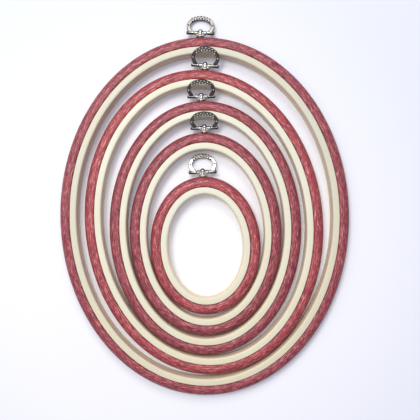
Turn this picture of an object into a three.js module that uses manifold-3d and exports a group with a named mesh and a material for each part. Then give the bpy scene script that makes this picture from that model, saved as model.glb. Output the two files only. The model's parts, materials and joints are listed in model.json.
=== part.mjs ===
// Nest of five oval display hoops for needlework, lying face up, each with its own hanger.
// Millimetres: +X right, +Y towards the hangers, +Z up off the table.
import * as THREE from 'three';
import { mergeVertices } from 'three/addons/utils/BufferGeometryUtils.js';
import Module from 'manifold-3d';

// The largest hoop, over its vinyl ring
const largestWidth = 209;
const largestLength = 258.6;

// Section of every hoop, measured outwards from the seam between its two rings
const hoopHeight = 10;
const innerRingWidth = 5;
const outerRingWidth = 7.7;
const seamGap = 0.3;
const faceRound = 1.1;
const seamRound = 0.4;
const lipWidth = 2.2;
const lipThickness = 1.4;
const seatGap = 0.3;
const flankDepth = 3.4;
const flankPoints = 5;
const crownDrop = 0.8;
const chordError = 0.25;

// Hanger: eye casting and hinge pin, with the pin's axis in front of the ring
const pinStandoff = 3.3;
const pinDiameter = 1.1;
const pinClearance = 0.15;
const knuckleDiameter = 2.9;
const knuckleSpan = 8.8;
const knuckleRound = 0.35;
const waistDiameter = 2.3;
const waistSpan = 3.8;
const ballDiameter = 3.7;
const ballOffset = 0.9;
const neckDiameter = 3;
const neckStart = 1;
const footDiameter = 5.8;
const footRim = 0.4;
const webWidth = 8;
const webFootWidth = 4.8;
const webThickness = 1.6;
const shankDiameter = 2.4;
const shankLength = 5;
const shankClearance = 0.25;

// Bail: a flat horseshoe on two barrels, with a zigzag of beads over its crown
const barrelDiameter = 2.4;
const barrelGap = 0.3;
const barrelInset = 0.2;
const pinProud = 0.3;
const bailWidth = 20.2;
const bailReach = 14.4;
const bailThickness = 1.5;
const sideBand = 2.5;
const crownBand = 3.4;
const shoulderHeight = 5.7;
const bailBevel = 0.3;
const outerFoot = 8.2;
const footWidth = 3.5;
const outerLegTurn = 22;
const innerLegTurn = 30;
const beadDiameter = 1.1;
const beadRise = 0.45;
const beadPitch = 1.1;
const beadStagger = 0.78;
const beadArc = 58;
const sideBeadTurn = 3;

// How the hoops lie in one another, and where each hanger sits on its ring
const leanGap = 0.15;
const restGap = 0.3;
const swingRoom = 1.55;
const secondSideGap = 5.7;
const secondSideShift = -0.55;
const secondTopGap = 10.5;
const secondBottomGap = 1.9;
const thirdSideGap = 4;
const thirdSideShift = 1.05;
const thirdTopGap = 10.1;
const thirdBottomGap = 1.6;
const fourthSideGap = 1.7;
const fourthSideShift = 0.2;
const fourthTopGap = 10.1;
const fourthBottomGap = 1.5;
const fifthSideGap = 2.4;
const fifthSideShift = -0.15;
const fifthBottomGap = 2.2;
const firstHangerShift = -0.5;
const secondHangerShift = 11.7;
const thirdHangerShift = -0.6;
const fourthHangerShift = 0.7;
const fifthHangerShift = 0.15;
const firstLie = { turn: 1.15, hangerShift: firstHangerShift, hangerLean: -3.3 };
const secondLie = {
  turn: 6,
  sideGap: secondSideGap,
  sideShift: secondSideShift,
  topGap: secondTopGap,
  bottomGap: secondBottomGap,
  hangerShift: secondHangerShift,
  hangerLean: 0.3,
};
const thirdLie = {
  turn: 1.4,
  sideGap: thirdSideGap,
  sideShift: thirdSideShift,
  topGap: thirdTopGap,
  bottomGap: thirdBottomGap,
  hangerShift: thirdHangerShift,
  hangerLean: -1.4,
};
const fourthLie = {
  turn: 1.3,
  sideGap: fourthSideGap,
  sideShift: fourthSideShift,
  topGap: fourthTopGap,
  bottomGap: fourthBottomGap,
  hangerShift: fourthHangerShift,
  hangerLean: 1.1,
};
const fifthLie = {
  turn: 2.4,
  sideGap: fifthSideGap,
  sideShift: fifthSideShift,
  bottomGap: fifthBottomGap,
  hangerShift: fifthHangerShift,
  hangerLean: 0,
};
const smallerHoops = [secondLie, thirdLie, fourthLie, fifthLie];

const degree = Math.PI / 180;
const roundSides = 10;
const arcSteps = 6;
const beadSides = 6;
const bellSteps = 2;
const pinHeight = (hoopHeight + seatGap) / 2;
const boreRadius = pinDiameter / 2 + pinClearance;
const barrelEnd = bailWidth / 2 - barrelInset;
const pinLength = 2 * (barrelEnd + pinProud);

const creamPlastic = { color: 0xf0ead0, roughness: 0.45, metalness: 0 };
const roseVinyl = { color: 0xb4545c, roughness: 0.5, metalness: 0 };
const duskyVinyl = { color: 0xa6505c, roughness: 0.5, metalness: 0 };
const agedSilver = { color: 0x8f8a84, roughness: 0.35, metalness: 1 };

const library = await Module();
library.setup();

// A closed geometry as a solid, without the flat triangles that a point on an axis leaves
function toSolid(geometry) {
  const bare = geometry.clone();
  bare.deleteAttribute('normal');
  bare.deleteAttribute('uv');
  const merged = mergeVertices(bare, 1e-4);
  const corners = [];
  for (let i = 0; i < merged.index.count; i += 3) {
    const [a, b, c] = [0, 1, 2].map((k) => merged.index.getX(i + k));
    if (a !== b && b !== c && c !== a) {
      corners.push(a, b, c);
    }
  }
  return new library.Manifold(new library.Mesh({
    numProp: 3,
    vertProperties: new Float32Array(merged.attributes.position.array),
    triVerts: new Uint32Array(corners),
  }));
}

function toGeometry(solid) {
  const { vertProperties, triVerts } = solid.getMesh();
  const geometry = new THREE.BufferGeometry();
  geometry.setAttribute('position', new THREE.BufferAttribute(new Float32Array(vertProperties), 3));
  geometry.setIndex(new THREE.BufferAttribute(new Uint32Array(triVerts), 1));
  geometry.computeVertexNormals();
  return geometry;
}

function joined(geometries) {
  return geometries.map(toSolid).reduce((whole, piece) => whole.add(piece));
}

function namedMesh(name, geometry, finish) {
  const mesh = new THREE.Mesh(geometry, new THREE.MeshStandardMaterial(finish));
  mesh.name = name;
  return mesh;
}

// A rod along X, centred on x = middle
function crossRod(radius, length, middle = 0) {
  const rod = new THREE.CylinderGeometry(radius, radius, length, roundSides);
  rod.rotateZ(Math.PI / 2);
  rod.translate(middle, 0, 0);
  return rod;
}

// Point of a hoop: along its seam oval by angle, then outwards along the oval's normal
function ovalPoint(hoop, angle, outwards) {
  const normal = new THREE.Vector2(hoop.seamLength * Math.cos(angle), hoop.seamWidth * Math.sin(angle));
  normal.normalize();
  return new THREE.Vector2(
    (hoop.seamWidth / 2) * Math.cos(angle) + normal.x * outwards,
    (hoop.seamLength / 2) * Math.sin(angle) + normal.y * outwards,
  );
}

// A closed ring that carries one section all round the hoop's oval
function ringGeometry(hoop, section) {
  const steps = 4 * Math.ceil((Math.PI / 2) * Math.sqrt(hoop.seamLength / 2 / (8 * chordError)));
  const count = section.length;
  const positions = [];
  const corners = [];
  for (let i = 0; i < steps; i++) {
    for (const [outwards, up] of section) {
      const point = ovalPoint(hoop, (i / steps) * 2 * Math.PI, outwards);
      positions.push(point.x, point.y, up);
    }
    for (let j = 0; j < count; j++) {
      const [here, above] = [i * count + j, i * count + ((j + 1) % count)];
      const [next, nextAbove] = [here, above].map((corner) => (corner + count) % (steps * count));
      corners.push(here, next, above, next, nextAbove, above);
    }
  }
  const geometry = new THREE.BufferGeometry();
  geometry.setAttribute('position', new THREE.Float32BufferAttribute(positions, 3));
  geometry.setIndex(corners);
  geometry.computeVertexNormals();
  return geometry;
}

// Rounded edge between an inner ring's wall and its face, from the face down
function faceEdge() {
  const wall = -innerRingWidth;
  const corner = faceRound * (1 - Math.SQRT1_2);
  return [
    [wall + faceRound, hoopHeight],
    [wall + corner, hoopHeight - corner],
    [wall, hoopHeight - faceRound],
  ];
}

// Rigid inner ring: a tall wall with a flat face, and a lip at its back for the vinyl ring
function innerSection() {
  const seam = -seamGap / 2;
  return [
    [-innerRingWidth, 0],
    [lipWidth, 0],
    [lipWidth, lipThickness],
    [seam, lipThickness],
    [seam, hoopHeight - seamRound],
    [seam - seamRound, hoopHeight],
    ...faceEdge(),
  ];
}

// Vinyl outer ring: a soft D, round side out, rebated where it seats on the lip
function outerSection() {
  const seam = seamGap / 2;
  const seat = lipThickness + seatGap;
  const flank = [];
  for (let i = 0; i < flankPoints; i++) {
    const turn = (i / (flankPoints - 1) - 0.5) * Math.PI;
    flank.push([
      outerRingWidth - flankDepth * (1 - Math.cos(turn)),
      pinHeight + (hoopHeight - pinHeight) * Math.sin(turn),
    ]);
  }
  return [
    [seam, seat],
    [lipWidth + seatGap, seat],
    [lipWidth + seatGap, seatGap],
    ...flank,
    [seam + seamRound + crownDrop / 2, hoopHeight - crownDrop / 2],
    [seam, hoopHeight - crownDrop - seamRound],
  ];
}

// Blind hole for the eye's shank, in the hanger's own frame
function shankBore() {
  const depth = pinStandoff + shankLength + shankClearance;
  const bore = new THREE.CylinderGeometry(
    shankDiameter / 2 + shankClearance,
    shankDiameter / 2 + shankClearance,
    depth,
    roundSides,
  );
  bore.translate(0, -depth / 2, 0);
  return bore;
}

// Two knuckles with a waist between them, turned about the pin
function knuckleGeometry() {
  const end = knuckleSpan / 2;
  const waist = waistSpan / 2;
  const big = knuckleDiameter / 2;
  const small = waistDiameter / 2;
  const half = [
    [0, end],
    [big - knuckleRound, end],
    [big, end - knuckleRound],
    [big, waist + knuckleRound],
    [small, waist],
  ];
  const profile = [
    ...half.map(([radius, along]) => new THREE.Vector2(radius, -along)),
    ...half.reverse().map(([radius, along]) => new THREE.Vector2(radius, along)),
  ];
  const knuckles = new THREE.LatheGeometry(profile, roundSides);
  knuckles.rotateZ(Math.PI / 2);
  return knuckles;
}

// Neck, bell-shaped foot and the shank that goes into the vinyl, turned about the Y axis
function stemGeometry() {
  const foot = seatGap - pinStandoff;
  const bell = [];
  for (let i = bellSteps; i >= 0; i--) {
    const flare = i / bellSteps;
    bell.push(new THREE.Vector2(
      (neckDiameter + (footDiameter - neckDiameter) * flare ** 2) / 2,
      -neckStart + (foot + footRim + neckStart) * flare,
    ));
  }
  const profile = [
    new THREE.Vector2(0, -pinStandoff - shankLength),
    new THREE.Vector2(shankDiameter / 2, -pinStandoff - shankLength),
    new THREE.Vector2(shankDiameter / 2, foot),
    new THREE.Vector2(footDiameter / 2, foot),
    ...bell,
    new THREE.Vector2(neckDiameter / 2, 0),
    new THREE.Vector2(0, 0),
  ];
  return new THREE.LatheGeometry(profile, roundSides);
}

// Web that narrows from the knuckles to the foot
function webGeometry() {
  const foot = seatGap - pinStandoff + footRim / 2;
  const outline = new THREE.Shape();
  outline.moveTo(webWidth / 2, 0);
  outline.lineTo(-webWidth / 2, 0);
  outline.lineTo(-webFootWidth / 2, foot);
  outline.lineTo(webFootWidth / 2, foot);
  outline.closePath();
  const web = new THREE.ExtrudeGeometry(outline, { depth: webThickness, bevelEnabled: false });
  web.translate(0, 0, -webThickness / 2);
  return web;
}

function eyeGeometry() {
  const ball = new THREE.SphereGeometry(ballDiameter / 2, roundSides, roundSides / 2);
  ball.translate(0, ballOffset, 0);
  const casting = joined([knuckleGeometry(), stemGeometry(), webGeometry(), ball]);
  return toGeometry(casting.subtract(toSolid(crossRod(boreRadius, 2 * knuckleSpan))));
}

// Flat horseshoe whose slanted legs run down to the pin
function horseshoeGeometry() {
  const halfWidth = bailWidth / 2;
  const holeWidth = halfWidth - sideBand;
  const rise = bailReach - shoulderHeight;
  const holeRise = rise - crownBand;
  const [outer, inner] = [outerLegTurn * degree, innerLegTurn * degree];
  const outline = new THREE.Shape();
  outline.moveTo(outerFoot, 0);
  outline.absellipse(0, shoulderHeight, halfWidth, rise, -outer, Math.PI + outer, false);
  outline.lineTo(-outerFoot, 0);
  outline.lineTo(footWidth - outerFoot, 0);
  outline.absellipse(0, shoulderHeight, holeWidth, holeRise, Math.PI + inner, -inner, true);
  outline.lineTo(outerFoot - footWidth, 0);
  outline.closePath();
  const plate = new THREE.ExtrudeGeometry(outline, {
    depth: bailThickness - 2 * bailBevel,
    bevelThickness: bailBevel,
    bevelSize: bailBevel,
    bevelOffset: -bailBevel,
    bevelSegments: 1,
    curveSegments: arcSteps,
  });
  plate.translate(0, 0, bailBevel - bailThickness / 2);
  return plate;
}

// Beads in two staggered rows over the crown, and one on each shoulder
function beadGeometries() {
  const midWidth = (bailWidth - sideBand) / 2;
  const midRise = bailReach - shoulderHeight - crownBand / 2;
  const spots = [];
  let row = 1;
  for (let turn = 0; turn < beadArc * degree; row = -row) {
    const slope = new THREE.Vector2(midWidth * Math.cos(turn), midRise * Math.sin(turn));
    for (const side of turn > 0 ? [-1, 1] : [1]) {
      spots.push([
        side * (midWidth * Math.sin(turn) + (row * beadStagger * slope.y) / slope.length()),
        midRise * Math.cos(turn) + (row * beadStagger * slope.x) / slope.length(),
      ]);
    }
    turn += beadPitch / slope.length();
  }
  const shoulder = sideBeadTurn * degree;
  for (const side of [-1, 1]) {
    spots.push([side * midWidth * Math.cos(shoulder), midRise * Math.sin(shoulder)]);
  }
  return spots.map(([across, along]) => {
    const bead = new THREE.SphereGeometry(beadDiameter / 2, beadSides, 2);
    bead.rotateX(Math.PI / 2);
    bead.scale(1, 1, (2 * beadRise) / beadDiameter);
    bead.translate(across, shoulderHeight + along, bailThickness / 2);
    return bead;
  });
}

function bailGeometry() {
  const start = knuckleSpan / 2 + barrelGap;
  const barrels = [-1, 1].map((side) => (
    crossRod(barrelDiameter / 2, barrelEnd - start, (side * (start + barrelEnd)) / 2)
  ));
  const casting = joined([horseshoeGeometry(), ...barrels, ...beadGeometries()]);
  return toGeometry(casting.subtract(toSolid(crossRod(boreRadius, 2 * pinLength))));
}

// How far an oval reaches from the nest's middle in one direction, grown outwards by a width
function ovalReach(hoop, direction, outwards) {
  const turned = direction - hoop.turn * degree;
  return Math.hypot((hoop.seamWidth / 2) * Math.cos(turned), (hoop.seamLength / 2) * Math.sin(turned))
    + outwards + hoop.x * Math.cos(direction) + hoop.y * Math.sin(direction);
}

// Least gap all round between a hoop and the wall of the hoop that it lies in
function leastGap(around, hoop) {
  let gap = Infinity;
  for (let direction = 0; direction < 2 * Math.PI; direction += degree) {
    const room = ovalReach(around, direction, -innerRingWidth) - ovalReach(hoop, direction, outerRingWidth);
    gap = Math.min(gap, room);
  }
  return gap;
}

// Size and place of a hoop from the one around it. It turns as far as its lean allows before the two meet.
function hoopWithin(around, lie) {
  const topGap = lie.topGap ?? pinStandoff + bailReach + swingRoom;
  const ringWidths = 2 * (innerRingWidth + outerRingWidth);
  const hoop = {
    ...lie,
    seamWidth: around.seamWidth - ringWidths - 2 * lie.sideGap,
    seamLength: around.seamLength - ringWidths - topGap - lie.bottomGap,
    x: around.x + lie.sideShift,
    y: around.y + (lie.bottomGap - topGap) / 2,
  };
  const settles = (share) => {
    hoop.turn = around.turn + (lie.turn - around.turn) * share;
    return leastGap(around, hoop) >= leanGap + chordError;
  };
  let [low, high] = [0, 1];
  while (!settles(high) && high - low > 0.01) {
    const middle = (low + high) / 2;
    [low, high] = settles(middle) ? [middle, high] : [low, middle];
  }
  return hoop;
}

// The hanger's frame in its hoop: X along the pin, Y outwards, origin on the pin's axis
function placeHanger(hanger, hoop) {
  const angle = Math.acos(hoop.hangerShift / (hoop.seamWidth / 2 + outerRingWidth));
  const [ringEdge, pinAxis] = [0, pinStandoff].map((out) => ovalPoint(hoop, angle, outerRingWidth + out));
  hanger.position.set(pinAxis.x, pinAxis.y, pinHeight);
  hanger.rotation.z = pinAxis.clone().sub(ringEdge).angle() - Math.PI / 2 + hoop.hangerLean * degree;
}

// Tilt of a bail that hangs down to the table
function tiltToTable() {
  const drop = Math.asin((pinHeight - restGap) / Math.hypot(bailReach, bailThickness / 2));
  return Math.atan2(bailThickness / 2, bailReach) - drop;
}

// Tilt of a bail that leans on the face of the hoop around it
function tiltOnto(around, hanger) {
  const halfWidth = bailWidth / 2;
  const rise = bailReach - shoulderHeight;
  let tilt = 0;
  for (let angle = 0; angle < Math.PI; angle += degree / 4) {
    for (const [outwards, up] of faceEdge()) {
      const flat = ovalPoint(around, angle, outwards);
      const edge = hanger.worldToLocal(around.group.localToWorld(new THREE.Vector3(flat.x, flat.y, up)));
      const along = Math.hypot(edge.y, edge.z);
      const height = along - shoulderHeight;
      const inOutline = Math.hypot(edge.x / halfWidth, height / rise) < 1;
      const inHole = Math.hypot(edge.x / (halfWidth - sideBand), height / (rise - crownBand)) < 1;
      if (edge.y > 0 && inOutline && !inHole) {
        const lift = Math.asin((bailThickness / 2 + restGap) / along);
        tilt = Math.max(tilt, Math.atan2(edge.z, edge.y) + lift);
      }
    }
  }
  return tilt;
}

const hoops = [{
  ...firstLie,
  seamWidth: largestWidth - 2 * outerRingWidth,
  seamLength: largestLength - 2 * outerRingWidth,
  x: 0,
  y: 0,
}];
for (const lie of smallerHoops) {
  hoops.push(hoopWithin(hoops.at(-1), lie));
}

const nest = new THREE.Group();
const [innerProfile, outerProfile] = [innerSection(), outerSection()];
const [eye, pin, bail] = [eyeGeometry(), crossRod(pinDiameter / 2, pinLength), bailGeometry()];
hoops.forEach((hoop, i) => {
  const name = `hoop${i + 1}`;
  const vinyl = i % 3 === 1 ? roseVinyl : duskyVinyl;
  const group = new THREE.Group();
  group.position.set(hoop.x, hoop.y, 0);
  group.rotation.z = hoop.turn * degree;
  hoop.group = group;
  nest.add(group);

  const hanger = new THREE.Group();
  placeHanger(hanger, hoop);
  group.add(hanger);
  nest.updateMatrixWorld(true);

  const bore = shankBore().applyMatrix4(hanger.matrix);
  const vinylRing = toSolid(ringGeometry(hoop, outerProfile)).subtract(toSolid(bore));
  group.add(namedMesh(`${name}_inner_ring`, ringGeometry(hoop, innerProfile), creamPlastic));
  group.add(namedMesh(`${name}_outer_ring`, toGeometry(vinylRing), vinyl));
  hanger.add(namedMesh(`${name}_hanger_eye`, eye, agedSilver));

  const swing = new THREE.Group();
  swing.rotation.x = hoop.topGap ? tiltOnto(hoops[i - 1], hanger) : tiltToTable();
  swing.add(namedMesh(`${name}_hinge_pin`, pin, agedSilver));
  swing.add(namedMesh(`${name}_bail`, bail, agedSilver));
  hanger.add(swing);
});

// The origin is the middle of the nest's footprint, on the table
const box = new THREE.Box3().setFromObject(nest, true);
nest.position.set(-(box.min.x + box.max.x) / 2, -(box.min.y + box.max.y) / 2, 0);

export default nest;
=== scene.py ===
import json
import math

import bmesh
import bpy
from mathutils import Matrix, Vector
from mathutils.kdtree import KDTree


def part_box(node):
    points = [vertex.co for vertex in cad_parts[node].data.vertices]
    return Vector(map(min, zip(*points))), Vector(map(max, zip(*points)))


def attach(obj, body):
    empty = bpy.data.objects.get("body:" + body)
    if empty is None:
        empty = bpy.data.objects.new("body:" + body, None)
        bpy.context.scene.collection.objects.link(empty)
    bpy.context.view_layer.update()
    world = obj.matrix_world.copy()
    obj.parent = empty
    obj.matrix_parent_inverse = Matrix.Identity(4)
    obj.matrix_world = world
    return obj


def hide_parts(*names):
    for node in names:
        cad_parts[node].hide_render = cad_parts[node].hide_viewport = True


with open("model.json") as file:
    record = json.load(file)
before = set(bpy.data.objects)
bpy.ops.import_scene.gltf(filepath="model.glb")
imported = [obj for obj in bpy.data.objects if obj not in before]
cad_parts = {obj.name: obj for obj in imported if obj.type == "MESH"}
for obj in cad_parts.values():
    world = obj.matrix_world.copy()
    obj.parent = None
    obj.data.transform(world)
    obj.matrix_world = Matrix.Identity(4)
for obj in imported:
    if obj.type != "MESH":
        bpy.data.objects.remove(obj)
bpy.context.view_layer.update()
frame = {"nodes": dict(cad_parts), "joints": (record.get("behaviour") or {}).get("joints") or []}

mm = 0.001  # pieces are modelled in millimetres and scaled down when they are put in place
near = 1e-3  # corners closer than this, in millimetres, are taken to be in one place
hoopNames = ["hoop1", "hoop2", "hoop3", "hoop4", "hoop5"]
brightHoops = ["hoop2", "hoop5"]  # their vinyl is from a redder batch
shadedCreamHoops = ["hoop1"]  # its cream is painted darker, as painted shade for the light falling off away from the middle


# Small helpers

def clearSelection():
    bpy.ops.object.select_all(action="DESELECT")


def startEditing(piece):
    clearSelection()
    piece.select_set(True)
    bpy.context.view_layer.objects.active = piece
    bpy.ops.object.mode_set(mode="EDIT")
    bpy.ops.mesh.select_mode(type="VERT")
    bpy.ops.mesh.select_all(action="SELECT")


def stopEditing():
    bpy.ops.object.mode_set(mode="OBJECT")
    return bpy.context.object


def pick(test, kind="verts"):
    # in edit mode, selects the vertices, edges or faces whose middle passes the test
    bpy.ops.mesh.select_mode(type={"verts": "VERT", "edges": "EDGE", "faces": "FACE"}[kind])
    bpy.ops.mesh.select_all(action="DESELECT")
    shape = bmesh.from_edit_mesh(bpy.context.object.data)
    for part in getattr(shape, kind):
        corners = [part] if kind == "verts" else part.verts
        middle = sum((corner.co for corner in corners), Vector()) / len(corners)
        part.select = bool(test(middle))
    shape.select_flush_mode()
    bmesh.update_edit_mesh(bpy.context.object.data)


def applyModifier(piece, kind, **settings):
    bpy.context.view_layer.objects.active = piece
    added = piece.modifiers.new(kind, kind)
    for name, value in settings.items():
        setattr(added, name, value)
    bpy.ops.object.modifier_apply(modifier=added.name)


def joinPieces(pieces):
    clearSelection()
    for piece in pieces:
        piece.select_set(True)
    bpy.context.view_layer.objects.active = pieces[0]
    bpy.ops.object.join()
    return bpy.context.object


def faceOutwards(piece):
    startEditing(piece)
    bpy.ops.mesh.normals_make_consistent(inside=False)
    stopEditing()


def softenShading(piece, degrees):
    clearSelection()
    piece.select_set(True)
    bpy.context.view_layer.objects.active = piece
    bpy.ops.object.shade_smooth_by_angle(angle=math.radians(degrees))


def settle(piece, place):
    # puts the piece in its place and leaves the place in its mesh
    clearSelection()
    piece.select_set(True)
    bpy.context.view_layer.objects.active = piece
    piece.matrix_world = place
    bpy.ops.object.transform_apply(location=True, rotation=True, scale=True)


def discard(piece):
    bpy.data.objects.remove(piece)


# Where the hoops and their hangers lie, read from the frame

section = {  # of a hoop's two rings; a piece's sizes are in millimetres here and below
    "height": 10,
    "innerWidth": 5,
    "outerWidth": 7.7,
    "seamGap": 0.3,
    "lipWidth": 2.2,
    "lipThickness": 1.4,
    "seatGap": 0.3,
}


def readOval(name):
    # the lip of the inner ring is swept round the seam oval, so its far corner is on the long axis
    node = name + "_inner_ring"
    low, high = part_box(node)
    middle = (low + high) / 2
    arms = [(corner.co - middle).xy for corner in frame["nodes"][node].data.vertices]
    far = max((arm for arm in arms if arm.y > 0), key=lambda arm: arm.length)
    along = far.normalized()
    across = Vector((along.y, -along.x))
    lip = section["lipWidth"]
    return {
        "middle": Vector((middle.x, middle.y, 0)),
        "turn": math.atan2(-along.x, along.y),
        "halfLength": far.length / mm - lip,
        "halfWidth": max(arm.dot(across) for arm in arms) / mm - lip,
    }


def readHanger(name):
    # X along the pin, Y outwards and Z up, with the pin's axis through the origin
    joint = next(j for j in frame["joints"] if j["name"] == name + "_bail_swing")
    pin = Vector(joint["pos_m"])
    along = Vector(joint["axis"]).normalized()
    up = Vector((0, 0, 1))
    out = up.cross(along)
    arms = [corner.co - pin for corner in frame["nodes"][name + "_bail"].data.vertices]
    reach = max(math.hypot(arm.dot(out), arm.z) for arm in arms)
    tipDepth = 0.02 * mm  # corners this far inside the reach still belong to the crown's tip
    tips = [arm for arm in arms if math.hypot(arm.dot(out), arm.z) > reach - tipDepth]
    tilt = sum(math.atan2(tip.z, tip.dot(out)) for tip in tips) / len(tips)
    turned = Matrix((along, out, up)).transposed().to_4x4()
    place = Matrix.Translation(pin) @ turned @ Matrix.Scale(mm, 4)
    return {"place": place, "swung": place @ Matrix.Rotation(tilt, 4, "X"), "tilt": math.degrees(tilt)}


ovals = {name: readOval(name) for name in hoopNames}
hangers = {name: readHanger(name) for name in hoopNames}
for name in hoopNames:
    print(
        "read", name, [round(v, 5) for v in ovals[name]["middle"].xy],
        round(math.degrees(ovals[name]["turn"]), 2), round(ovals[name]["halfWidth"], 2),
        round(ovals[name]["halfLength"], 2), "tilt", round(hangers[name]["tilt"], 2),
    )


# Shader maths

class Wire:  # an output socket in a node tree, which sums can be written with
    def __init__(self, tree, socket=None):
        self.tree = tree
        self.socket = socket

    def node(self, kind, settings=None, inputs=None, output=0):
        made = self.tree.nodes.new("ShaderNode" + kind)
        for name, value in (settings or {}).items():
            setattr(made, name, value)
        for name, value in (inputs or {}).items():
            if isinstance(value, Wire):
                self.tree.links.new(value.socket, made.inputs[name])
            else:
                made.inputs[name].default_value = value
        return Wire(self.tree, made.outputs[output] if made.outputs else None)

    def maths(self, operation, first, second):
        return self.node("Math", {"operation": operation}, {0: first, 1: second})

    def __add__(self, other):
        return self.maths("ADD", self, other)

    def __radd__(self, other):
        return self.maths("ADD", other, self)

    def __sub__(self, other):
        return self.maths("SUBTRACT", self, other)

    def __rsub__(self, other):
        return self.maths("SUBTRACT", other, self)

    def __mul__(self, other):
        return self.maths("MULTIPLY", self, other)

    def __rmul__(self, other):
        return self.maths("MULTIPLY", other, self)

    def parts(self):  # the X, Y and Z of a vector
        split = self.node("SeparateXYZ", None, {0: self})
        return [Wire(self.tree, socket) for socket in split.socket.node.outputs]

    def noise(self, layer):  # over this place, with grains of the layer's size
        return self.node("TexNoise", None, {
            "Vector": self,
            "Scale": 1 / (layer["size"] * mm),
            "Detail": layer["detail"],
        })

    def step(self, low, high):  # from 0 at low to 1 at high, whichever is larger, and soft between
        return self.node("MapRange", {"interpolation_type": "SMOOTHSTEP"},
                         {"Value": self, "From Min": low, "From Max": high})

    def share(self, layer):  # a step as high as the layer's share
        return self.step(layer["from"], layer["to"]) * layer["share"]

    def mixed(self, first, second):  # two colours, mixed by this value; their sockets go by number
        return self.node("Mix", {"data_type": "RGBA"}, {"Factor": self, 6: first, 7: second}, output=2)


def paint(red, green, blue):
    # a colour as it looks on a screen, 0 to 255, as linear light
    shares = [value / 255 for value in (red, green, blue)]
    return tuple(((s + 0.055) / 1.055) ** 2.4 if s > 0.04045 else s / 12.92 for s in shares) + (1,)


def newFinish(name):
    finish = bpy.data.materials.new(name)
    finish.use_nodes = True
    finish.node_tree.nodes.clear()
    return finish, Wire(finish.node_tree)


def closeFinish(wire, relief, bump, inputs):
    inputs["Normal"] = wire.node("Bump", None, {
        "Strength": bump["strength"],
        "Distance": bump["depth"] * mm,
        "Height": relief,
    })
    shader = wire.node("BsdfPrincipled", None, inputs)
    wire.node("OutputMaterial", None, {"Surface": shader})


# Finishes

cream = {
    "fresh": paint(239, 237, 213),
    # painted shade: the darker cream of the outermost hoop
    "aged": paint(222, 219, 196),
    "yellowed": paint(235, 224, 186),
    # painted light: a warm tint laid on the upright wall, for light from the red vinyl
    "paintedWarmWallLight": paint(238, 204, 172),
    "patches": {"size": 30, "detail": 2.0, "from": 0.4, "to": 0.75, "share": 0.25, "rough": 0.06},
    "grain": {"size": 0.35, "detail": 3.0, "share": 0.1, "rough": 0.04},
    "foot": {"from": 0.03, "to": -0.13, "share": 0.55},
    # how much of the painted warm tint lies on a surface, by how upright it stands
    "wall": {"from": 0.95, "to": 0.3, "share": 0.45},
    "bump": {"strength": 0.12, "depth": 0.02},
    "roughness": 0.38,
    "refraction": 1.46,
}


def makeCream(name, tone):
    # yellows in patches and towards the foot of the nest, down the Y axis
    finish, wire = newFinish(name)
    place = wire.node("TexCoord", output="Object")
    patches = place.noise(cream["patches"])
    grain = place.noise(cream["grain"])
    foot = place.parts()[1].share(cream["foot"])
    yellow = patches.share(cream["patches"]) + grain * cream["grain"]["share"] + foot
    # painted warm light on the wall and the rounded edge, standing in for light from the red vinyl behind
    # them
    upright = wire.node("TexCoord", output="Normal").parts()[2]
    wall = (upright * upright).share(cream["wall"])
    uneven = patches * cream["patches"]["rough"] + grain * cream["grain"]["rough"]
    closeFinish(wire, grain, cream["bump"], {
        "Base Color": wall.mixed(yellow.mixed(tone, cream["yellowed"]), cream["paintedWarmWallLight"]),
        "Roughness": cream["roughness"] + uneven,
        "IOR": cream["refraction"],
    })
    return finish


vinyl = {
    "rose": {"darkPrintAndShade": paint(108, 32, 42), "body": paint(172, 62, 71), "light": paint(236, 156, 146)},
    "dusky": {"darkPrintAndShade": paint(94, 31, 43), "body": paint(155, 58, 69), "light": paint(226, 150, 145)},
    "grain": {"length": 4.5, "width": 0.5, "detail": 3.0, "start": 0.0, "rough": 0.2},
    "fibres": {"length": 2.4, "width": 0.24, "detail": 2.0, "start": 40.0, "relief": 0.5},
    "blotches": {"length": 9, "width": 2.2, "detail": 2.0, "start": 80.0},
    "wave": {"length": 26, "width": 104, "detail": 1.0, "start": 20.0, "swing": 2.4},
    "paleGrain": {"from": 0.53, "to": 0.68, "share": 0.7},
    "paleFibres": {"from": 0.54, "to": 0.68, "share": 0.5},
    "deepGrain": {"from": 0.5, "to": 0.64, "share": 0.8},
    "deepBlotches": {"from": 0.48, "to": 0.75, "share": 0.4},
    # painted shade: darker down the flanks, away from the crown
    "sides": {"from": 9.6, "to": 7.0, "share": 0.7},
    "bump": {"strength": 0.35, "depth": 0.08},
    "roughness": 0.33,
    "refraction": 1.5,
}


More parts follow.
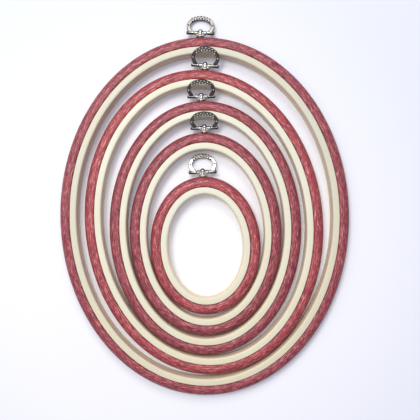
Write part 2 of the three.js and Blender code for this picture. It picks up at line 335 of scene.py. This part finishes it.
def makeVinyl(name, tones):
    # printed wood grain that runs along the ring in slow waves, with painted shade darkening it down its
    # sides
    finish, wire = newFinish(name)
    around, aside, across = wire.node("Attribute", {"attribute_name": "unrolled"}, output="Vector").parts()
    height = wire.node("TexCoord", output="Object").parts()[2] * (1 / mm)

    def streaks(layer, sideways):
        stretched = wire.node("CombineXYZ", None, {
            "X": around * (1 / (layer["length"] * mm)),
            "Y": aside * (1 / (layer["length"] * mm)),
            "Z": sideways * (1 / (layer["width"] * mm)) + layer["start"],
        })
        return wire.node("TexNoise", None, {"Vector": stretched, "Scale": 1.0, "Detail": layer["detail"]})

    sideways = across + streaks(vinyl["wave"], across) * (vinyl["wave"]["swing"] * mm)
    grain = streaks(vinyl["grain"], sideways)
    fibres = streaks(vinyl["fibres"], sideways)
    blotches = streaks(vinyl["blotches"], sideways)
    pale = grain.share(vinyl["paleGrain"]) + fibres.share(vinyl["paleFibres"])
    deep = (1 - grain).share(vinyl["deepGrain"]) + blotches.share(vinyl["deepBlotches"])
    printed = pale.mixed(deep.mixed(tones["body"], tones["darkPrintAndShade"]), tones["light"])
    closeFinish(wire, grain + fibres * vinyl["fibres"]["relief"], vinyl["bump"], {
        # painted shade down the flanks, laid over the print
        "Base Color": height.share(vinyl["sides"]).mixed(printed, tones["darkPrintAndShade"]),
        "Roughness": vinyl["roughness"] + (1 - grain) * vinyl["grain"]["rough"],
        "IOR": vinyl["refraction"],
    })
    return finish


silver = {
    # the bright colour stands for polished metal and for painted highlight, the dark one for patina and for
    # painted shade
    "polishAndSheen": paint(245, 239, 225),
    "tarnish": paint(216, 209, 196),
    "patinaAndShade": paint(50, 46, 48),
    "clouds": {"size": 1.8, "detail": 3.0, "from": 0.62, "to": 0.38, "rough": 0.08},
    "pits": {"size": 0.3, "detail": 3.0, "rough": 0.05},
    "recess": {"reach": 0.25, "samples": 8, "from": 0.2, "to": 0.7},
    "bump": {"strength": 0.1, "depth": 0.03},
    "metal": 0.15,
    "bareMetal": 0.38,
    "roughness": 0.13,
    "patinaRough": 0.3,
}


def makeSilver():
    # bare metal where the attribute on the mesh is high, which stands for rubbed metal and for painted
    # highlight; patina in the hollows, and patina with painted shade and dark reflection where the attribute
    # is low
    finish, wire = newFinish("agedSilver")
    place = wire.node("TexCoord", output="Object")
    clouds = place.noise(silver["clouds"])
    pits = place.noise(silver["pits"])
    worn = clouds.step(silver["clouds"]["from"], silver["clouds"]["to"])
    recess = silver["recess"]
    exposed = wire.node(
        "AmbientOcclusion", {"samples": recess["samples"]}, {"Distance": recess["reach"] * mm}, output="AO")
    # the attribute marks rubbed metal and painted highlight, against patina and painted shade
    rubbed = wire.node("Attribute", {"attribute_name": "rubbed"}, output="Fac")
    bareAndLit = exposed.step(recess["from"], recess["to"]) * rubbed
    uneven = clouds * silver["clouds"]["rough"] + pits * silver["pits"]["rough"]
    closeFinish(wire, clouds + pits, silver["bump"], {
        "Base Color": bareAndLit.mixed(silver["patinaAndShade"], worn.mixed(silver["tarnish"], silver["polishAndSheen"])),
        "Metallic": silver["metal"] + bareAndLit * silver["bareMetal"],
        "Roughness": silver["roughness"] + uneven + (1 - bareAndLit) * silver["patinaRough"],
    })
    return finish


freshFinish = makeCream("creamPlastic", cream["fresh"])
# the cream with painted shade, for the outermost hoop
shadedCreamFinish = makeCream("agedCreamPlastic", cream["aged"])
roseFinish = makeVinyl("roseVinyl", vinyl["rose"])
duskyFinish = makeVinyl("duskyVinyl", vinyl["dusky"])
silverFinish = makeSilver()
print("finishes made")


# Rings: a section drawn flat, then swept round each hoop's oval

ringDetail = {
    "stepsPerQuarter": 72,
    "faceRound": 1.3,
    "faceSegments": 7,
    "seamRound": 0.4,
    "seamSegments": 4,
    "footRound": 0.25,
    "footSegments": 3,
    "rebateSegments": 2,
    "flankDepth": 5.2,
    "flankSides": 64,
    "crownDrop": 0.8,
    "crownRound": 0.85,
    "crownSegments": 6,
    "smoothAngle": 35,
}


def sectionCurve(name):
    # leaves only the outline of the drawn faces, as a curve
    bpy.ops.mesh.select_mode(type="FACE")
    bpy.ops.mesh.select_all(action="SELECT")
    bpy.ops.mesh.delete(type="ONLY_FACE")
    drawn = stopEditing()
    drawn.name = name
    clearSelection()
    drawn.select_set(True)
    bpy.ops.object.convert(target="CURVE")
    return drawn


def roundCorner(x, y, offset, segments):
    pick(lambda p: (p.xy - Vector((x, y))).length < near)
    bpy.ops.mesh.bevel(offset=offset, segments=segments, affect="VERTICES")


def drawInnerSection():
    # a tall wall with a flat face, and the lip at its back; X is outwards from the seam, Y is up
    height, width = section["height"], section["innerWidth"] - section["seamGap"] / 2
    seam = -section["seamGap"] / 2
    lip = section["lipThickness"]
    clearSelection()
    bpy.ops.mesh.primitive_plane_add(size=1, location=(0, 0, 0))
    startEditing(bpy.context.object)
    bpy.ops.transform.resize(value=(width, height, 1))
    bpy.ops.transform.translate(value=(seam - width / 2, height / 2, 0))
    bpy.ops.mesh.bisect(plane_co=(0, lip, 0), plane_no=(0, 1, 0))
    pick(lambda p: abs(p.x - seam) < near and p.y < lip, "edges")
    bpy.ops.mesh.extrude_region_move(TRANSFORM_OT_translate={"value": (section["lipWidth"] - seam, 0, 0)})
    bpy.ops.mesh.select_mode(type="FACE")
    bpy.ops.mesh.select_all(action="SELECT")
    bpy.ops.mesh.dissolve_faces()
    roundCorner(-section["innerWidth"], height, ringDetail["faceRound"], ringDetail["faceSegments"])
    roundCorner(seam, height, ringDetail["seamRound"], ringDetail["seamSegments"])
    for x, y in ((-section["innerWidth"], 0), (section["lipWidth"], lip), (section["lipWidth"], 0)):
        roundCorner(x, y, ringDetail["footRound"], ringDetail["footSegments"])
    return sectionCurve("innerSection")


def drawOuterSection():
    # half an oval for the flank, drawn out to the seam, with a rebate where it seats on the lip
    height, seat = section["height"], section["seatGap"]
    seam = section["seamGap"] / 2
    middle = (height + seat) / 2
    root = section["outerWidth"] - ringDetail["flankDepth"]
    rebateX = section["lipWidth"] + section["seatGap"]
    rebateY = section["lipThickness"] + section["seatGap"]
    clearSelection()
    bpy.ops.mesh.primitive_circle_add(vertices=ringDetail["flankSides"], radius=1, fill_type="NGON")
    startEditing(bpy.context.object)
    bpy.ops.mesh.bisect(plane_co=(0, 0, 0), plane_no=(1, 0, 0), clear_inner=True, use_fill=False)
    bpy.ops.mesh.select_all(action="SELECT")
    bpy.ops.transform.resize(value=(ringDetail["flankDepth"], height - middle, 1), center_override=(0, 0, 0))
    bpy.ops.transform.translate(value=(root, middle, 0))
    pick(lambda p: p.x < root + near, "edges")
    bpy.ops.mesh.extrude_region_move(TRANSFORM_OT_translate={"value": (seam - root, 0, 0)})
    pick(lambda p: p.x < seam + near and p.y > middle)
    bpy.ops.transform.translate(value=(0, -ringDetail["crownDrop"] / 2, 0))
    for corner, normal in (((rebateX, 0, 0), (1, 0, 0)), ((0, rebateY, 0), (0, 1, 0))):
        bpy.ops.mesh.select_all(action="SELECT")
        bpy.ops.mesh.bisect(plane_co=corner, plane_no=normal)
    pick(lambda p: p.x < rebateX and p.y < rebateY, "faces")
    bpy.ops.mesh.delete(type="FACE")
    bpy.ops.mesh.select_mode(type="FACE")
    bpy.ops.mesh.select_all(action="SELECT")
    bpy.ops.mesh.dissolve_faces()
    crown = height - ringDetail["crownDrop"] / 2
    roundCorner(seam, crown, ringDetail["crownRound"], ringDetail["crownSegments"])
    roundCorner(seam, rebateY, ringDetail["footRound"], ringDetail["rebateSegments"])
    return sectionCurve("outerSection")


def unroll(ring, sides):
    # tells each corner its place along the ring, wound on a circle as long as the ring, and its
    # place round the section
    mesh = ring.data
    corners = [corner.co for corner in mesh.vertices]
    steps = len(corners) // sides
    along, across = [0.0], [0.0]
    for i in range(steps):
        along.append(along[-1] + (corners[((i + 1) % steps) * sides] - corners[i * sides]).length * mm)
    for j in range(sides):
        across.append(across[-1] + (corners[(j + 1) % sides] - corners[j]).length * mm)
    radius = along[-1] / (2 * math.pi)
    sheet = mesh.attributes.new("unrolled", "FLOAT_VECTOR", "CORNER").data
    for face in mesh.polygons:
        ranks = [mesh.loops[k].vertex_index % sides for k in face.loop_indices]
        for k, rank in zip(face.loop_indices, ranks):
            turn = along[mesh.loops[k].vertex_index // sides] / radius
            if rank == 0 and max(ranks) == sides - 1:
                rank = sides
            sheet[k].vector = (radius * math.cos(turn), radius * math.sin(turn), across[rank])


def sweepRing(name, oval, drawn):
    # the oval runs clockwise from its top, so that the section's X points outwards
    clearSelection()
    bpy.ops.curve.primitive_bezier_circle_add(radius=1)
    ring = bpy.context.object
    ring.name = name
    bpy.ops.object.mode_set(mode="EDIT")
    bpy.ops.curve.select_all(action="SELECT")
    bpy.ops.curve.handle_type_set(type="ALIGNED")  # else the handles move and the oval bulges
    bpy.ops.transform.rotate(value=math.pi, orient_axis="Z", center_override=(0, 0, 0))
    bpy.ops.transform.resize(value=(-oval["halfWidth"], oval["halfLength"], 1), center_override=(0, 0, 0))
    bpy.ops.object.mode_set(mode="OBJECT")
    ring.data.resolution_u = ringDetail["stepsPerQuarter"]
    ring.data.bevel_mode = "OBJECT"
    ring.data.bevel_object = drawn
    clearSelection()
    ring.select_set(True)
    bpy.context.view_layer.objects.active = ring
    bpy.ops.object.convert(target="MESH")
    unroll(ring, len(drawn.data.splines[0].points))
    turned = Matrix.Rotation(oval["turn"], 4, "Z") @ Matrix.Scale(mm, 4)
    settle(ring, Matrix.Translation(oval["middle"]) @ turned)
    faceOutwards(ring)
    softenShading(ring, ringDetail["smoothAngle"])
    return ring


innerDrawn = drawInnerSection()
outerDrawn = drawOuterSection()
for name in hoopNames:
    inner = sweepRing(name + "InnerRing", ovals[name], innerDrawn)
    inner.data.materials.append(shadedCreamFinish if name in shadedCreamHoops else freshFinish)
    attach(inner, name + "_inner")
    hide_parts(name + "_inner_ring")
    outer = sweepRing(name + "OuterRing", ovals[name], outerDrawn)
    outer.data.materials.append(roseFinish if name in brightHoops else duskyFinish)
    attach(outer, name + "_outer")
    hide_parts(name + "_outer_ring")
discard(innerDrawn)
discard(outerDrawn)
print("rings swept")


# Hanger: eye casting, hinge pin and bail, modelled once about the pin's axis

cast = {
    "sides": 40,
    "roundSegments": 3,
    "voxel": 0.06,
    "smoothing": 8,
    "smoothFactor": 0.5,
    "keep": 0.3,
    "boreDiameter": 1.4,
    "drillLength": 40,
    "smoothAngle": 40,
}


def addRod(diameter, length, sides, middle=0):
    # a cylinder along the pin's axis
    clearSelection()
    bpy.ops.mesh.primitive_cylinder_add(
        vertices=sides, radius=diameter / 2, depth=length, location=(middle, 0, 0),
        rotation=(0, math.pi / 2, 0))
    return bpy.context.object


def fuseCasting(piece):
    # melts the joined shapes into one casting with soft inner corners, then drills it for the pin
    applyModifier(piece, "REMESH", mode="VOXEL", voxel_size=cast["voxel"], adaptivity=0)
    applyModifier(piece, "SMOOTH", factor=cast["smoothFactor"], iterations=cast["smoothing"])
    applyModifier(piece, "DECIMATE", ratio=cast["keep"])
    drill = addRod(cast["boreDiameter"], cast["drillLength"], cast["sides"])
    applyModifier(piece, "BOOLEAN", operation="DIFFERENCE", object=drill, solver="EXACT")
    discard(drill)
    faceOutwards(piece)
    softenShading(piece, cast["smoothAngle"])


eye = {
    "knuckleDiameter": 2.9,
    "knuckleSpan": 8.8,
    "waistDiameter": 2.3,
    "waistSpan": 3.8,
    "knuckleRound": 0.35,
    "ballDiameter": 3.7,
    "ballRings": 24,
    "ballOffset": 0.9,
    "neckDiameter": 3,
    "neckStart": 1,
    "footDiameter": 5.8,
    "footRim": 0.4,
    "bellSteps": 10,
    "webWidth": 8,
    "webFootWidth": 4.8,
    "webThickness": 1.6,
    "standoff": 3.3,
    "shankDiameter": 2.4,
    "shankLength": 5,
}


def modelKnuckles():
    end, waist = eye["knuckleSpan"] / 2, eye["waistSpan"] / 2
    addRod(eye["knuckleDiameter"], 2 * end, cast["sides"])
    bpy.ops.object.transform_apply(rotation=True)
    startEditing(bpy.context.object)
    for x in (-waist, waist, -waist - eye["knuckleRound"], waist + eye["knuckleRound"]):
        bpy.ops.mesh.select_all(action="SELECT")
        bpy.ops.mesh.bisect(plane_co=(x, 0, 0), plane_no=(1, 0, 0))
    pick(lambda p: abs(p.x) < waist + near)
    slim = eye["waistDiameter"] / eye["knuckleDiameter"]
    bpy.ops.transform.resize(value=(1, slim, slim), center_override=(0, 0, 0))
    pick(lambda p: abs(p.x) > end - near, "edges")
    bpy.ops.mesh.bevel(offset=eye["knuckleRound"], segments=cast["roundSegments"], affect="EDGES")
    return stopEditing()


def modelStem():
    # from the shank in the vinyl through the bell-shaped foot to the neck, which ends in the ball
    foot = section["seatGap"] - eye["standoff"]
    start = -eye["standoff"] - eye["shankLength"]
    neck = eye["neckDiameter"] / 2
    rings = [(eye["shankDiameter"] / 2, foot), (eye["footDiameter"] / 2, foot)]
    for i in range(eye["bellSteps"], -1, -1):
        flare = i / eye["bellSteps"]
        rings.append((
            neck + (eye["footDiameter"] / 2 - neck) * flare ** 2,
            -eye["neckStart"] + (foot + eye["footRim"] + eye["neckStart"]) * flare,
        ))
    rings.append((neck, 0))
    clearSelection()
    bpy.ops.mesh.primitive_circle_add(
        vertices=cast["sides"], radius=eye["shankDiameter"] / 2, fill_type="NGON",
        rotation=(math.pi / 2, 0, 0))
    bpy.ops.object.transform_apply(rotation=True)
    startEditing(bpy.context.object)
    bpy.ops.transform.translate(value=(0, start, 0))
    radius, y = eye["shankDiameter"] / 2, start
    for nextRadius, nextY in rings:
        bpy.ops.mesh.extrude_region_move(TRANSFORM_OT_translate={"value": (0, nextY - y, 0)})
        wider = nextRadius / radius
        bpy.ops.transform.resize(value=(wider, 1, wider), center_override=(0, nextY, 0))
        radius, y = nextRadius, nextY
    stem = stopEditing()
    faceOutwards(stem)
    return stem


def modelWeb():
    # narrows from the knuckles to the foot
    foot = section["seatGap"] - eye["standoff"] + eye["footRim"] / 2
    clearSelection()
    bpy.ops.mesh.primitive_cube_add(size=1)
    startEditing(bpy.context.object)
    bpy.ops.transform.resize(value=(eye["webWidth"], -foot, eye["webThickness"]))
    bpy.ops.transform.translate(value=(0, foot / 2, 0))
    pick(lambda p: p.y < foot / 2)
    narrower = eye["webFootWidth"] / eye["webWidth"]
    bpy.ops.transform.resize(value=(narrower, 1, 1), center_override=(0, foot, 0))
    return stopEditing()


def modelEye():
    clearSelection()
    bpy.ops.mesh.primitive_uv_sphere_add(
        segments=cast["sides"], ring_count=eye["ballRings"], radius=eye["ballDiameter"] / 2,
        location=(0, eye["ballOffset"], 0))
    ball = bpy.context.object
    bpy.ops.object.transform_apply(location=True)
    casting = joinPieces([modelKnuckles(), modelStem(), modelWeb(), ball])
    fuseCasting(casting)
    return casting


bail = {
    "width": 20.2,
    "reach": 14.4,
    "thickness": 1.5,
    "sideBand": 2.5,
    "crownBand": 3.4,
    "shoulderHeight": 5.7,
    "outerFoot": 8.2,
    "footWidth": 3.5,
    "outerLegTurn": 22,
    "innerLegTurn": 30,
    "arcSteps": 28,
    "edgeRound": 0.5,
    "edgeSegments": 4,
    "edgeAngle": 60,
    "beadDiameter": 1.1,
    "beadSides": 20,
    "beadRings": 12,
    "beadRise": 0.45,
    "beadPitch": 1.1,
    "beadStagger": 0.78,
    "beadArc": 58,
    "sideBeadTurn": 3,
    "barrelDiameter": 2.4,
    "barrelStart": 4.7,
    "barrelEnd": 9.9,
    "barrelRound": 0.25,
}


def halfEdge(halfWidth, rise, legTurn, footX):
    # one edge of the bail from the crown round to its right foot: a vertex spun, stretched and drawn out
    clearSelection()
    bpy.ops.mesh.primitive_plane_add(size=1)
    startEditing(bpy.context.object)
    bpy.ops.mesh.merge(type="CENTER")
    bpy.ops.transform.translate(value=(0, 1, 0))
    turn = math.radians(90 + legTurn)
    bpy.ops.mesh.spin(steps=bail["arcSteps"], angle=turn, center=(0, 0, 0), axis=(0, 0, 1))
    bpy.ops.mesh.select_all(action="SELECT")
    bpy.ops.transform.resize(value=(halfWidth, rise, 1), center_override=(0, 0, 0))
    bpy.ops.transform.translate(value=(0, bail["shoulderHeight"], 0))
    endX, endY = halfWidth * math.sin(turn), bail["shoulderHeight"] + rise * math.cos(turn)
    pick(lambda p: (p.xy - Vector((endX, endY))).length < near)
    bpy.ops.mesh.extrude_region_move(TRANSFORM_OT_translate={"value": (footX - endX, -endY, 0)})
    return stopEditing()


def modelPlate():
    halfWidth, rise = bail["width"] / 2, bail["reach"] - bail["shoulderHeight"]
    plate = joinPieces([
        halfEdge(halfWidth, rise, bail["outerLegTurn"], bail["outerFoot"]),
        halfEdge(halfWidth - bail["sideBand"], rise - bail["crownBand"], bail["innerLegTurn"],
                 bail["outerFoot"] - bail["footWidth"]),
    ])
    startEditing(plate)
    bpy.ops.mesh.bridge_edge_loops()
    stopEditing()
    applyModifier(plate, "MIRROR", use_axis=(True, False, False), use_clip=True, merge_threshold=near)
    startEditing(plate)
    bpy.ops.transform.translate(value=(0, 0, -bail["thickness"] / 2))
    bpy.ops.mesh.extrude_region_move(TRANSFORM_OT_translate={"value": (0, 0, bail["thickness"])})
    stopEditing()
    faceOutwards(plate)
    applyModifier(plate, "BEVEL", width=bail["edgeRound"], segments=bail["edgeSegments"],
                  limit_method="ANGLE", angle_limit=math.radians(bail["edgeAngle"]))
    return plate


def beadSpots():
    # two staggered rows over the crown, and one on each shoulder
    midWidth = (bail["width"] - bail["sideBand"]) / 2
    midRise = bail["reach"] - bail["shoulderHeight"] - bail["crownBand"] / 2
    spots, turn, row = [], 0.0, 1
    while turn < math.radians(bail["beadArc"]):
        slope = Vector((midWidth * math.cos(turn), midRise * math.sin(turn)))
        shift = row * bail["beadStagger"] / slope.length
        for side in (-1, 1) if turn else (1,):
            spots.append((
                side * (midWidth * math.sin(turn) + shift * slope.y),
                midRise * math.cos(turn) + shift * slope.x,
            ))
        turn += bail["beadPitch"] / slope.length
        row = -row
    turn = math.radians(bail["sideBeadTurn"])
    return spots + [(side * midWidth * math.cos(turn), midRise * math.sin(turn)) for side in (-1, 1)]


def modelBeads():
    beads = []
    for across, along in beadSpots():
        clearSelection()
        bpy.ops.mesh.primitive_uv_sphere_add(
            segments=bail["beadSides"], ring_count=bail["beadRings"], radius=bail["beadDiameter"] / 2,
            location=(across, bail["shoulderHeight"] + along, bail["thickness"] / 2),
        )
        bead = bpy.context.object
        bead.scale.z = 2 * bail["beadRise"] / bail["beadDiameter"]
        bpy.ops.object.transform_apply(location=True, scale=True)
        beads.append(bead)
    return beads


def modelBarrel(side):
    start, end = bail["barrelStart"], bail["barrelEnd"]
    addRod(bail["barrelDiameter"], end - start, cast["sides"], side * (start + end) / 2)
    bpy.ops.object.transform_apply(location=True, rotation=True)
    startEditing(bpy.context.object)
    pick(lambda p: not start + near < side * p.x < end - near, "edges")
    bpy.ops.mesh.bevel(offset=bail["barrelRound"], segments=cast["roundSegments"], affect="EDGES")
    return stopEditing()


def modelBail():
    casting = joinPieces([modelPlate(), modelBarrel(-1), modelBarrel(1), *modelBeads()])
    fuseCasting(casting)
    return casting


pin = {"diameter": 1.1, "length": 20.4, "sides": 32, "endRound": 0.2, "endSegments": 4}


def modelPin():
    addRod(pin["diameter"], pin["length"], pin["sides"])
    bpy.ops.object.transform_apply(rotation=True)
    startEditing(bpy.context.object)
    pick(lambda p: abs(p.x) > pin["length"] / 2 - near, "edges")
    bpy.ops.mesh.bevel(offset=pin["endRound"], segments=pin["endSegments"], affect="EDGES")
    rod = stopEditing()
    softenShading(rod, cast["smoothAngle"])
    return rod


patterns = {"HangerEye": modelEye(), "HingePin": modelPin(), "Bail": modelBail()}
for part, pattern in patterns.items():
    pattern.name = part
print("hanger patterns modelled")


# Wear and painted light: where the antique finish shows bright metal, from rubbing and as painted highlight,
# and where it is dark, from patina and as painted shade and dark reflection

wearAndPaintedLight = {
    "lean": {"HangerEye": -8, "HingePin": 12, "Bail": 12},  # degrees outwards, of the side painted bright
    # where round parts turn from painted highlight to dark, by how far their normal leans up
    "topFrom": 0.8,
    "topTo": 1.0,
    "stemFrom": 0.0,
    "stemTo": 0.8,
    "rimSlope": 0.6,
    "rimDepth": 0.1,
    "edgeTo": 0.45,
    "slopeFrom": 0.4,
    "slopeTo": 0.85,
    "beadFrom": 0.48,
    "beadTo": 0.64,
    "webFoot": -2.3,
    "darkEnd": 0.9,
    # per bail, how bright the plate's face and its beads are painted, as painted reflection: bails that
    # mirror the bright sky get a bright face and dark beads, the others a dark face and bright beads
    "hoop1": {"face": 0.62, "beads": 0.0},
    "hoop2": {"face": 0.12, "beads": 1.0},
    "hoop3": {"face": 0.12, "beads": 1.0},
    "hoop4": {"face": 0.15, "beads": 1.0},
    "hoop5": {"face": 1.0, "beads": 0.0},
}


def ease(value, low, high):
    share = min(max((value - low) / (high - low), 0), 1)
    return share * share * (3 - 2 * share)


def plantTree(places):
    tree = KDTree(len(places))
    for i, place in enumerate(places):
        tree.insert(place, i)
    tree.balance()
    return tree


def plateRim(plate):
    # the upright edges of the bail's plate, to measure from
    foot, top = bail["barrelDiameter"] / 2, bail["thickness"] / 2 - wearAndPaintedLight["rimDepth"]
    upright = [corner.co for corner in plate.data.vertices if abs(corner.normal.z) < wearAndPaintedLight["rimSlope"]]
    return plantTree([place for place in upright if place.y > foot and place.z < top])


rim = plateRim(patterns["Bail"])
beadTops = plantTree([(across, bail["shoulderHeight"] + along, 0) for across, along in beadSpots()])


def wearAndLightOnRound(corner, normal, lean):
    # round parts: painted highlight on their upper side, with patina and painted dark reflection on their
    # flanks; painted dark at the pin's ends and on the web
    if abs(corner.co.x) > bail["barrelEnd"] - wearAndPaintedLight["darkEnd"]:
        return 0.0
    upwards = normal.z * math.cos(math.radians(lean)) + normal.y * math.sin(math.radians(lean))
    if corner.co.y > -eye["knuckleDiameter"] / 2:
        return ease(upwards, wearAndPaintedLight["topFrom"], wearAndPaintedLight["topTo"])
    onWeb = abs(corner.co.x) > eye["neckDiameter"] / 2 and corner.co.y > wearAndPaintedLight["webFoot"]
    return 0.0 if onWeb else ease(upwards, wearAndPaintedLight["stemFrom"], wearAndPaintedLight["stemTo"])


def wearAndLightOnPlate(corner, bailWearAndReflection):
    # the beads and the face around them are painted apart, as painted reflection that is partly rubbed
    # metal, and the plate's edges are painted dark, as painted shade and dark reflection
    face = bailWearAndReflection["face"] * ease(rim.find(corner.co)[2], 0, wearAndPaintedLight["edgeTo"])
    if bailWearAndReflection["beads"] > bailWearAndReflection["face"]:
        face *= ease(abs(corner.normal.z), wearAndPaintedLight["slopeFrom"], wearAndPaintedLight["slopeTo"])
    onFace = ease(beadTops.find((corner.co.x, corner.co.y, 0))[2], wearAndPaintedLight["beadFrom"], wearAndPaintedLight["beadTo"])
    return bailWearAndReflection["beads"] + (face - bailWearAndReflection["beads"]) * (onFace if corner.co.z > 0 else 1.0)


def paintWearAndLight(piece, pattern, bailWearAndReflection):
    # the wear and the painted light follow the places in the pattern and the normals of the piece as it lies
    rubbed = piece.data.attributes.new("rubbed", "FLOAT", "POINT")
    for corner, twin, value in zip(piece.data.vertices, pattern.data.vertices, rubbed.data):
        if twin.co.y > bail["barrelDiameter"] / 2 and pattern == patterns["Bail"]:
            value.value = wearAndLightOnPlate(twin, bailWearAndReflection)
        else:
            value.value = wearAndLightOnRound(twin, corner.normal, wearAndPaintedLight["lean"][pattern.name])


replaced = {"HangerEye": "_hanger_eye", "HingePin": "_hinge_pin", "Bail": "_bail"}
for name in hoopNames:
    for part, pattern in patterns.items():
        piece = pattern.copy()
        piece.data = pattern.data.copy()
        piece.name = name + part
        bpy.context.scene.collection.objects.link(piece)
        settle(piece, hangers[name]["place" if part == "HangerEye" else "swung"])
        paintWearAndLight(piece, pattern, wearAndPaintedLight[name])
        piece.data.materials.append(silverFinish)
        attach(piece, name + ("_outer" if part == "HangerEye" else "_hanger"))
        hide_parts(name + replaced[part])
for pattern in patterns.values():
    print("pattern", pattern.name, len(pattern.data.polygons), "faces")
    discard(pattern)
print("hangers modelled")


# Floor, light and camera

studio = {  # in metres and watts
    "floorSize": 6,
    "floor": paint(254, 254, 255),
    # painted shade: darker and bluer away from the middle, for light falling off towards the corners
    "floorVignetteShade": paint(240, 243, 252),
    "floorMiddle": (-0.02, -0.06, 0),
    "asideFrom": 0.1,
    "asideTo": 0.26,
    "floorGlow": 0.03,
    "window": {"place": (-0.372, 0.372, 0.989), "size": 0.32, "power": 4.4, "colour": (1.0, 0.98, 0.91)},
    "lamp": {"place": (0.0, 1.0, 1.04), "size": 0.45, "power": 4.2, "colour": (1.0, 0.97, 0.88)},
    "sideLamp": {"place": (-0.6, 0.0, 0.5), "size": 0.3, "power": 0.3, "colour": (1.0, 0.98, 0.93)},
    "skyFrom": (-0.3, 0.75, 0.6),
    "skyColour": (0.82, 0.84, 1.0, 1),
    "skyBright": 1.4,
    "skyDark": 0.06,
    "skyEdge": -0.3,
    "skyCore": 0.8,
    "horizon": 0.42,
    "overhead": 0.82,
}


def layFloor():
    clearSelection()
    bpy.ops.mesh.primitive_plane_add(size=studio["floorSize"])
    floor = bpy.context.object
    floor.name = "floor"
    finish, wire = newFinish("floorPaper")
    place = wire.node("TexCoord", output="Object")
    away = wire.node(
        "VectorMath", {"operation": "DISTANCE"}, {0: place, 1: studio["floorMiddle"]}, output="Value")
    # painted shade towards the corners
    aside = away.step(studio["asideFrom"], studio["asideTo"])
    colour = aside.mixed(studio["floor"], studio["floorVignetteShade"])
    shade = wire.node("BsdfDiffuse", None, {"Color": colour})
    glow = wire.node("Emission", None, {"Color": colour, "Strength": 1.0})
    seen = wire.node("LightPath", output="Is Camera Ray")
    mirrored = wire.node("LightPath", output="Is Glossy Ray")
    share = (seen + mirrored) * studio["floorGlow"]
    mixed = wire.node("MixShader", None, {0: share, 1: shade, 2: glow})
    wire.node("OutputMaterial", None, {"Surface": mixed})
    floor.data.materials.append(finish)


def hangLights():
    for name in ("window", "lamp", "sideLamp"):
        light = bpy.data.lights.new(name, "AREA")
        light.energy = studio[name]["power"]
        light.size = studio[name]["size"]
        light.color = studio[name]["colour"]
        holder = bpy.data.objects.new(name, light)
        holder.location = studio[name]["place"]
        holder.rotation_euler = (-Vector(studio[name]["place"])).to_track_quat("-Z", "Y").to_euler()
        bpy.context.scene.collection.objects.link(holder)


def paintSky():
    # brightest high up on one side; the camera sees it in the floor's colour
    world = bpy.data.worlds.new("studio")
    bpy.context.scene.world = world
    world.use_nodes = True
    world.node_tree.nodes.clear()
    wire = Wire(world.node_tree)
    direction = wire.node("TexCoord", output="Generated")
    brightest = Vector(studio["skyFrom"]).normalized()
    towards = wire.node(
        "VectorMath", {"operation": "DOT_PRODUCT"}, {0: direction, 1: brightest}, output="Value")
    height = direction.parts()[2].step(studio["horizon"], studio["overhead"])
    bright = towards.step(studio["skyEdge"], studio["skyCore"]) * height
    strength = studio["skyDark"] + bright * (studio["skyBright"] - studio["skyDark"])
    seen = wire.node("LightPath", output="Is Camera Ray")
    light = wire.node("Background", None, {"Color": studio["skyColour"], "Strength": strength})
    backdrop = wire.node("Background", None, {"Color": studio["floor"], "Strength": 1.0})
    sky = wire.node("MixShader", None, {0: seen, 1: light, 2: backdrop})
    wire.node("OutputWorld", None, {"Surface": sky})


camera = {  # in millimetres, apart from the clipping
    "middle": (3.8, -4.2),
    "height": 360,
    "pixelSize": 0.715,  # on the hoops' faces
    "pictureSide": 420,
    "sensor": 36,
    "clip": (0.01, 20),
}


def aimCamera():
    view = bpy.data.cameras.new("camera")
    view.sensor_width = camera["sensor"]
    halfPicture = camera["pixelSize"] * camera["pictureSide"] / 2
    view.lens = camera["sensor"] / 2 * (camera["height"] - section["height"]) / halfPicture
    view.clip_start, view.clip_end = camera["clip"]
    holder = bpy.data.objects.new("camera", view)
    holder.location = (camera["middle"][0] * mm, camera["middle"][1] * mm, camera["height"] * mm)
    bpy.context.scene.collection.objects.link(holder)
    bpy.context.scene.camera = holder


layFloor()
hangLights()
paintSky()
aimCamera()
bpy.context.scene.view_settings.view_transform = "Standard"
print("studio set")
